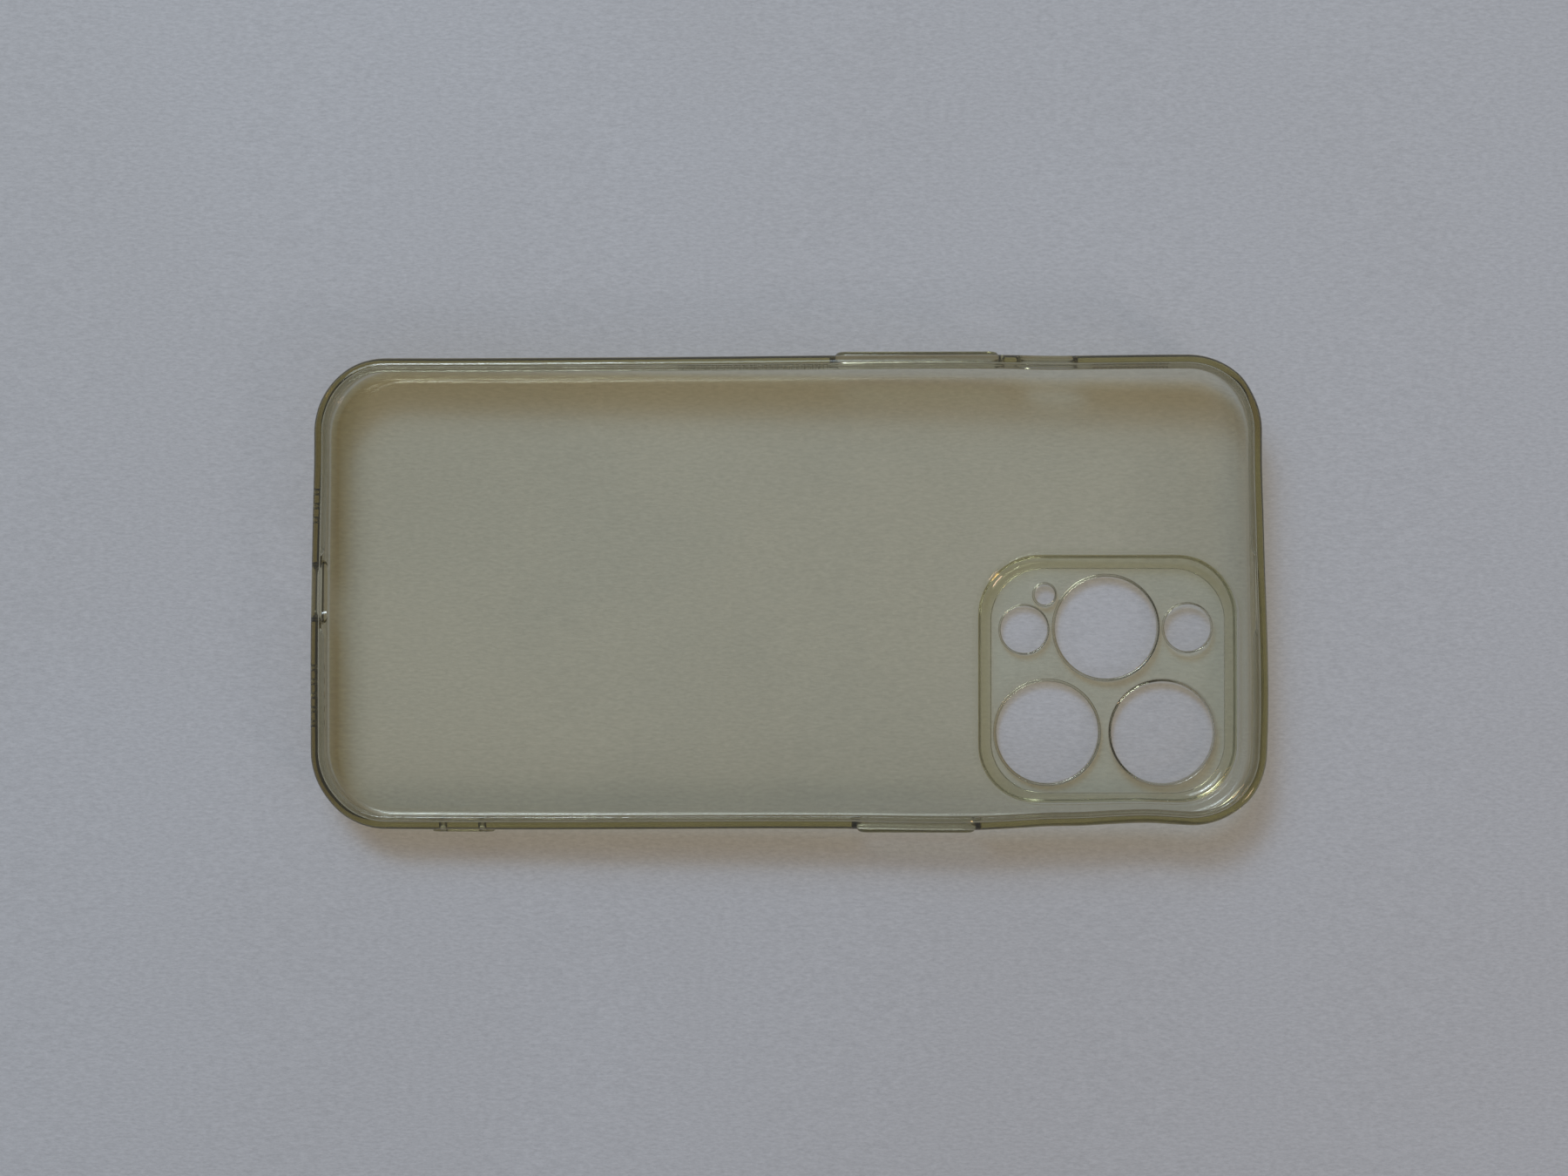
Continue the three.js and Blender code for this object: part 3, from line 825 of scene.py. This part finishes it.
def clearMaterial(name, withRibs=False):
    # aged clear plastic: glass to the eye, and a tinted filter to lamps and to light that
    # bounces off the paper. The film and wall attributes pick the zone's tint; the walls' tint is
    # partly painted shade
    p = plastic
    material = bpy.data.materials.new(name)
    material.use_nodes = True
    tree = material.node_tree
    tree.nodes.clear()
    place = put(tree, "TexCoord").outputs["Object"]
    film = put(tree, "Attribute", attribute_name="film").outputs["Fac"]
    wall = put(tree, "Attribute", attribute_name="wall").outputs["Fac"]

    def cloudyPair(key):
        return put(tree, "Group", {
            "Vector": place, "Color": p[key], "Cloud Color": p[key + "Cloud"], "Amount": 1.0,
            "Scale": p[key + "Scale"]}, node_tree=cloudy).outputs["Color"]

    tint = mixed(tree, film, cloudyPair("deck"), cloudyPair("panel"))
    # painted shade: the tint turns a cooler grey towards both ends and the lock side of the case
    x, y, _ = put(tree, "SeparateXYZ", {0: place}).outputs
    past = worked(tree, "SUBTRACT", worked(tree, "ABSOLUTE", x), (outerX - outerY) * mm)
    past = worked(tree, "MAXIMUM", past, worked(tree, "MULTIPLY", y, -1.0))
    edgeEnd = (outerY - p["edgeInset"]) * mm
    edge = put(tree, "MapRange", {"Value": past, "From Min": edgeEnd - p["edgeReach"],
                                  "From Max": edgeEnd}, interpolation_type="SMOOTHSTEP")
    paintedShadeTint = mixed(tree, 1.0, tint, p["paintedEdgeShade"], "MULTIPLY")
    # the walls take their darker tint, which is partly painted shade
    tint = mixed(tree, wall, mixed(tree, edge.outputs[0], tint, paintedShadeTint), cloudyPair("wall"))
    shade = mixed(tree, wall, mixed(tree, film, p["deckShade"], p["panelShade"]), p["wallShade"])
    worn = put(tree, "Group", {"Vector": place, "Smooth": p["smooth"], "Rough": p["rough"]},
               node_tree=handled)
    rough = worked(tree, "MULTIPLY_ADD", film, p["panelHaze"], worn.outputs["Roughness"])
    bump = put(tree, "Bump", {"Height": worn.outputs["Scuffs"], "Strength": 1.0,
                              "Distance": p["scuffDepth"]})
    share = worked(tree, "MULTIPLY_ADD", wall, 1.0 - p["waveOnFlats"], p["waveOnFlats"])
    waves = worked(tree, "MULTIPLY", share, worn.outputs["Waves"])
    bump = put(tree, "Bump", {"Height": waves, "Strength": 1.0, "Distance": p["waveDepth"],
                              "Normal": bump.outputs[0]})
    if withRibs:
        height = 0.0
        for start, end in p["ribRuns"]:
            run = put(tree, "Group", {"Vector": place, "Pitch": p["ribPitch"], "Start": start,
                                      "End": end}, node_tree=ribs)
            height = worked(tree, "ADD", height, run.outputs[0])
        # only on the outside of the volume side
        outside = worked(tree, "GREATER_THAN", y, (outerY - p["ribSkin"]) * mm)
        total = worked(tree, "MULTIPLY", height, outside)
        bump = put(tree, "Bump", {"Height": total, "Strength": 1.0, "Distance": p["ribDepth"],
                                  "Normal": bump.outputs[0]})
    body = put(tree, "BsdfPrincipled", {
        "Base Color": tint, "Roughness": rough, "IOR": p["ior"],
        "Transmission Weight": p["clear"], "Normal": bump.outputs[0]})
    passes = put(tree, "BsdfTransparent", {"Color": shade})
    path = put(tree, "LightPath")
    bounced = put(tree, "MixShader", {0: path.outputs["Is Diffuse Ray"], 1: body.outputs[0],
                                      2: passes.outputs[0]})
    lit = put(tree, "MixShader", {0: path.outputs["Is Shadow Ray"], 1: bounced.outputs[0],
                                  2: passes.outputs[0]})
    depth = put(tree, "VolumeAbsorption", {"Color": p["depthColor"], "Density": p["density"]})
    out = put(tree, "OutputMaterial")
    tree.links.new(lit.outputs[0], out.inputs["Surface"])
    tree.links.new(depth.outputs[0], out.inputs["Volume"])
    return material


case.data.materials.append(clearMaterial("agedPlastic", withRibs=True))
padPlastic = clearMaterial("agedPadPlastic")
for piece in [*pads.values(), *webs.values()]:
    piece.data.materials.append(padPlastic)
print("plastic made")


paper = {
    "color": (0.585, 0.572, 0.598, 1), "cloud": (0.555, 0.535, 0.55, 1),
    "cloudAmount": 0.6, "cloudScale": 7.0,
    "fibres": (900.0, 2500.0, 900.0), "streak": (0.87, 1.10), "grainDepth": 0.00006,
    "size": 2000.0,
}


def paperMaterial():
    # matt paper whose fibres run along the floor, as a faint streak in colour and height
    p = paper
    material = bpy.data.materials.new("palePaper")
    material.use_nodes = True
    tree = material.node_tree
    tree.nodes.clear()
    place = put(tree, "TexCoord").outputs["Object"]
    tone = put(tree, "Group", {
        "Vector": place, "Color": p["color"], "Cloud Color": p["cloud"],
        "Amount": p["cloudAmount"], "Scale": p["cloudScale"]}, node_tree=cloudy).outputs["Color"]
    stretched = put(tree, "Mapping", {"Vector": place, "Scale": p["fibres"]})
    fibres = put(tree, "TexNoise", {"Vector": stretched.outputs[0], "Scale": 1.0, "Detail": 4.0,
                                    "Roughness": 0.75})
    low, high = p["streak"]
    streak = put(tree, "MapRange", {"Value": fibres.outputs["Fac"], "From Min": 0.3,
                                    "From Max": 0.7, "To Min": low, "To Max": high})
    color = mixed(tree, 1.0, tone, streak.outputs[0], "MULTIPLY")
    bump = put(tree, "Bump", {"Height": fibres.outputs["Fac"], "Strength": 1.0,
                              "Distance": p["grainDepth"]})
    body = put(tree, "BsdfPrincipled", {"Base Color": color, "Roughness": 0.95,
                                        "Specular IOR Level": 0.2, "Normal": bump.outputs[0]})
    out = put(tree, "OutputMaterial")
    tree.links.new(body.outputs[0], out.inputs["Surface"])
    return material


def makeFloor():
    size = paper["size"]
    corners = [(-size, -size), (size, -size), (size, size), (-size, size)]
    mesh = bpy.data.meshes.new("floor")
    mesh.from_pydata([floorPoint(x, y) for x, y in corners], [], [(0, 1, 2, 3)])
    floor = bpy.data.objects.new("floor", mesh)
    mesh.materials.append(paperMaterial())
    scene.collection.objects.link(floor)


makeFloor()

lamps = {
    # name: (place, size, watts, colour), in metres. Each faces the case
    "window": ((-0.3, 0.75, 1.1), (0.8, 0.6), 6.4, (0.79, 0.92, 1.0)),
    "windowCore": ((-0.29, 0.73, 1.07), (0.3, 0.2), 3.0, (0.79, 0.92, 1.0)),
    "warmLamp": ((0.7, -0.5, 0.5), (0.17, 0.17), 1.2, (1.0, 0.70, 0.50)),
}
room = {"color": (0.78, 0.81, 0.86, 1), "strength": 0.25}


def areaLight(name, place, size, power, color):
    data = bpy.data.lights.new(name, "AREA")
    data.shape = "RECTANGLE"
    data.size, data.size_y = size
    data.energy = power
    data.color = color
    light = bpy.data.objects.new(name, data)
    light.location = place
    light.rotation_euler = (-Vector(place)).to_track_quat("-Z", "Y").to_euler()
    scene.collection.objects.link(light)


for name, lamp in lamps.items():
    areaLight(name, *lamp)
world = bpy.data.worlds.new("room")
world.use_nodes = True
background = world.node_tree.nodes["Background"]
background.inputs["Color"].default_value = room["color"]
background.inputs["Strength"].default_value = room["strength"]
scene.world = world
scene.view_settings.view_transform = "Standard"
print("paper and lamps placed")

# each piece rides its body and stands in for its CAD nodes
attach(case, "shell")
own = [n for b in buttons for n in (b + "_cover", b + "_web")]
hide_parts(*[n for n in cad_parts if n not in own])
for button, way in buttons.items():
    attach(pads[button], button)
    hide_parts(button + "_cover")
    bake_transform(webs[button])
    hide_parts(button + "_web")
print("pieces joined to the frame")
